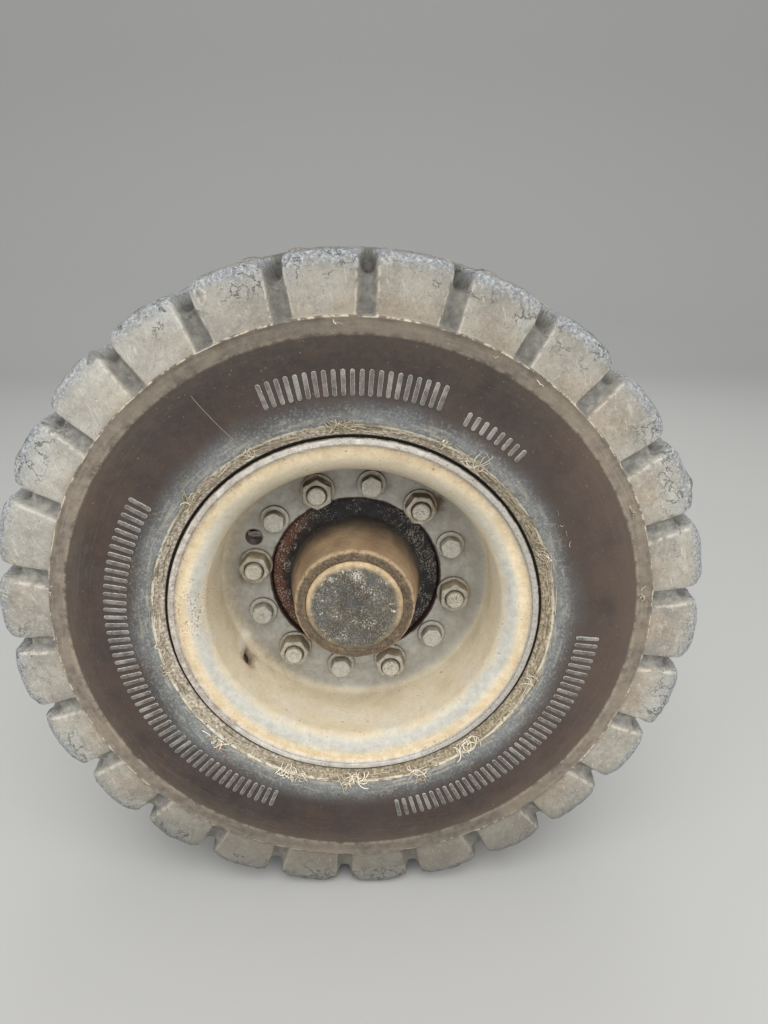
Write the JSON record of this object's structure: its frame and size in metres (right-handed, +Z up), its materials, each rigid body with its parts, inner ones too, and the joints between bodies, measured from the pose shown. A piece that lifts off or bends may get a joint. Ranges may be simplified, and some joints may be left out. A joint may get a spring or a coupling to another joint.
{
  "type": "solid-tyred steer wheel on its steering knuckle",
  "caption": "Worn solid rubber tyre on a bolted two-piece steel wheel with capped hub, turning on the stub axle of a steering knuckle.",
  "frame": {"origin": "on the king pin's axis where the wheel's spin axis crosses it, half way up the knuckle's barrel", "axes": "+Z up along the king pin, -Y outboard through the hub cap, +Y inboard along the wheel's spin axis, +X to the right seen from outside, so the steering arm points to -X"},
  "size_m": [0.56, 0.2861, 0.56],
  "materials": {
    "tyre_rubber": "solid rubber, dusty",
    "rim_paint": "off-white paint with cream dust and chips",
    "hub_iron": "rusted and dusty casting",
    "cap_steel": "dark speckled paint, worn pale at the edge",
    "seal_rubber": "greasy black",
    "fastener_paint": "painted over with the rim, dusty",
    "fastener_steel": "zinc gone dull",
    "knuckle_iron": "dark paint, dusty and greasy"
  },
  "bodies": {
    "knuckle": {"knuckle": "knuckle_iron"},
    "wheel": {"tyre": "tyre_rubber", "rim_outer": "rim_paint", "rim_inner": "rim_paint", "hub": "hub_iron", "hub_cap": "cap_steel", "hub_seal": "seal_rubber", "wheel_stud_1": "fastener_paint", "wheel_nut_1": "fastener_paint", "rim_bolt_1": "fastener_paint", "rim_bolt_nut_1": "fastener_steel", "wheel_stud_2": "fastener_paint", "wheel_nut_2": "fastener_paint", "rim_bolt_2": "fastener_paint", "rim_bolt_nut_2": "fastener_steel", "wheel_stud_3": "fastener_paint", "wheel_nut_3": "fastener_paint", "rim_bolt_3": "fastener_paint", "rim_bolt_nut_3": "fastener_steel", "wheel_stud_4": "fastener_paint", "wheel_nut_4": "fastener_paint", "rim_bolt_4": "fastener_paint", "rim_bolt_nut_4": "fastener_steel", "wheel_stud_5": "fastener_paint", "wheel_nut_5": "fastener_paint", "rim_bolt_5": "fastener_paint", "rim_bolt_nut_5": "fastener_steel", "wheel_stud_6": "fastener_paint", "wheel_nut_6": "fastener_paint", "rim_bolt_6": "fastener_paint", "rim_bolt_nut_6": "fastener_steel"}
  },
  "joints": [
    {"name": "wheel_spin", "type": "hinge", "parent": "knuckle", "child": "wheel", "pos_m": [0, -0.132, 0], "axis": [0, 1, 0], "continuous": true}
  ]
}
